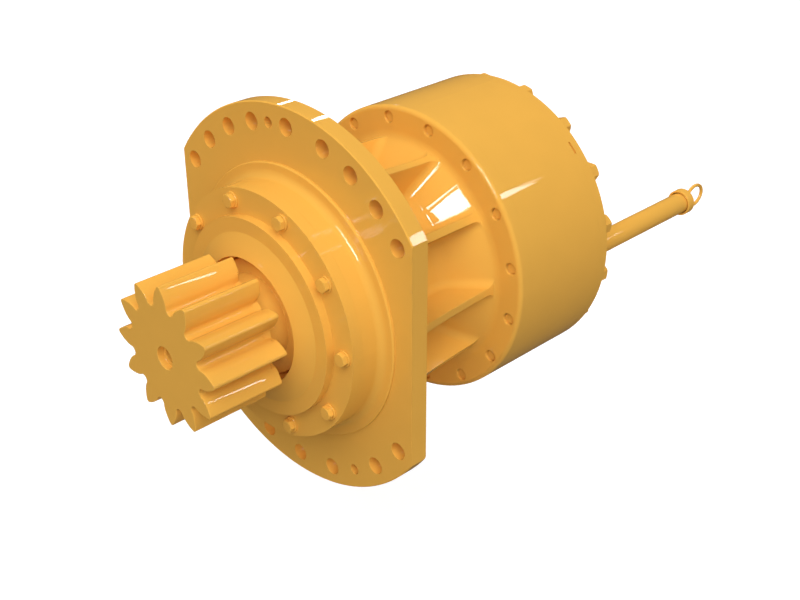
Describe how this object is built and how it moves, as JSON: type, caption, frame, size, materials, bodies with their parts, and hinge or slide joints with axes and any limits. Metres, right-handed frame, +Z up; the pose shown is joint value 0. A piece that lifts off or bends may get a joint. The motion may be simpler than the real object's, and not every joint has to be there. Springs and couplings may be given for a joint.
{
  "type": "swing drive",
  "caption": "Swing drive: flanged planetary gearbox with a ribbed housing, a pinion on its nose, a bolted gear drum and a dipstick tube.",
  "frame": {"origin": "centre of the flange's mounting face, where the drive axis crosses it", "axes": "+Y along the drive axis towards the rear cover and the dipstick, with the pinion at -Y; +Z up, parallel to the flange's two flats; +X to the side of the dipstick tube"},
  "size_m": [0.4706, 1.0049, 0.5768],
  "materials": {
    "gold_paint": "gloss",
    "bright_wire": "satin",
    "machined_steel": "machined",
    "carrier_iron": "as cast and machined",
    "bronze": "machined",
    "seal_rubber": "matt"
  },
  "bodies": {
    "casing": {"housing": "gold_paint", "bearing_retainer": "gold_paint", "retainer_bolts": "gold_paint", "retainer_washers": "gold_paint", "retainer_seal": "seal_rubber", "shaft_seal": "seal_rubber", "lower_bearing_outer_race": "machined_steel", "upper_bearing_outer_race": "machined_steel", "ring_gear": "gold_paint", "ring_gear_front_seal": "seal_rubber", "ring_gear_rear_seal": "seal_rubber", "rear_cover": "gold_paint", "cover_bolts": "gold_paint", "cover_washers": "gold_paint", "dipstick_tube": "gold_paint", "tube_locknut": "gold_paint", "filler_plug": "gold_paint", "plug_washer": "bronze"},
    "output": {"pinion_shaft": "gold_paint", "lower_bearing_inner_race": "machined_steel", "upper_bearing_inner_race": "machined_steel", "bearing_spacer": "machined_steel", "lock_washer": "machined_steel", "bearing_locknut": "machined_steel", "output_carrier": "carrier_iron", "carrier_end_plate": "machined_steel", "end_plate_bolts": "machined_steel", "output_planet_pins": "machined_steel", "output_thrust_washers": "bronze"},
    "lower_roller_set": {"lower_bearing_rollers": "machined_steel", "lower_bearing_cage": "bronze"},
    "upper_roller_set": {"upper_bearing_rollers": "machined_steel", "upper_bearing_cage": "bronze"},
    "middle": {"output_sun": "machined_steel", "input_carrier": "carrier_iron", "input_planet_pins": "machined_steel", "input_thrust_washers": "bronze", "input_pin_rings": "machined_steel"},
    "input": {"input_sun": "machined_steel"},
    "dipstick": {"dipstick_cap": "gold_paint", "dipstick_ring": "gold_paint", "dipstick_rod": "bright_wire"},
    "output_planet_set_1": {"output_planet_1": "machined_steel", "output_bush_1": "bronze"},
    "input_planet_set_1": {"input_planet_1": "machined_steel", "input_bush_1": "bronze"},
    "output_planet_set_2": {"output_planet_2": "machined_steel", "output_bush_2": "bronze"},
    "input_planet_set_2": {"input_planet_2": "machined_steel", "input_bush_2": "bronze"},
    "output_planet_set_3": {"output_planet_3": "machined_steel", "output_bush_3": "bronze"},
    "input_planet_set_3": {"input_planet_3": "machined_steel", "input_bush_3": "bronze"}
  },
  "joints": [
    {"name": "output_spin", "type": "hinge", "parent": "casing", "child": "output", "pos_m": [0, 0, 0], "axis": [0, 1, 0], "continuous": true},
    {"name": "lower_rollers_spin", "type": "hinge", "parent": "casing", "child": "lower_roller_set", "pos_m": [0, 0, 0], "axis": [0, 1, 0], "continuous": true},
    {"name": "upper_rollers_spin", "type": "hinge", "parent": "casing", "child": "upper_roller_set", "pos_m": [0, 0, 0], "axis": [0, 1, 0], "continuous": true},
    {"name": "middle_spin", "type": "hinge", "parent": "casing", "child": "middle", "pos_m": [0, 0, 0], "axis": [0, 1, 0], "continuous": true},
    {"name": "input_spin", "type": "hinge", "parent": "casing", "child": "input", "pos_m": [0, 0, 0], "axis": [0, 1, 0], "continuous": true},
    {"name": "output_planet_spin_1", "type": "hinge", "parent": "output", "child": "output_planet_set_1", "pos_m": [0, 0, 0.1125], "axis": [0, 1, 0], "continuous": true},
    {"name": "input_planet_spin_1", "type": "hinge", "parent": "middle", "child": "input_planet_set_1", "pos_m": [0, 0, 0.1125], "axis": [0, 1, 0], "continuous": true},
    {"name": "output_planet_spin_2", "type": "hinge", "parent": "output", "child": "output_planet_set_2", "pos_m": [-0.09743, 0, -0.05625], "axis": [0, 1, 0], "continuous": true},
    {"name": "input_planet_spin_2", "type": "hinge", "parent": "middle", "child": "input_planet_set_2", "pos_m": [-0.09743, 0, -0.05625], "axis": [0, 1, 0], "continuous": true},
    {"name": "output_planet_spin_3", "type": "hinge", "parent": "output", "child": "output_planet_set_3", "pos_m": [0.09743, 0, -0.05625], "axis": [0, 1, 0], "continuous": true},
    {"name": "input_planet_spin_3", "type": "hinge", "parent": "middle", "child": "input_planet_set_3", "pos_m": [0.09743, 0, -0.05625], "axis": [0, 1, 0], "continuous": true},
    {"name": "dipstick_pull", "type": "slide", "parent": "casing", "child": "dipstick", "axis": [0, 1, 0], "range_m": [0, 0.32]}
  ],
  "couplings": [
    {"joint": "lower_rollers_spin", "follows": "output_spin", "ratio": 0.43056},
    {"joint": "upper_rollers_spin", "follows": "output_spin", "ratio": 0.42742},
    {"joint": "middle_spin", "follows": "output_spin", "ratio": 4},
    {"joint": "input_spin", "follows": "output_spin", "ratio": 16},
    {"joint": "output_planet_spin_1", "follows": "output_spin", "ratio": -3},
    {"joint": "input_planet_spin_1", "follows": "output_spin", "ratio": -12},
    {"joint": "output_planet_spin_2", "follows": "output_spin", "ratio": -3},
    {"joint": "input_planet_spin_2", "follows": "output_spin", "ratio": -12},
    {"joint": "output_planet_spin_3", "follows": "output_spin", "ratio": -3},
    {"joint": "input_planet_spin_3", "follows": "output_spin", "ratio": -12}
  ]
}
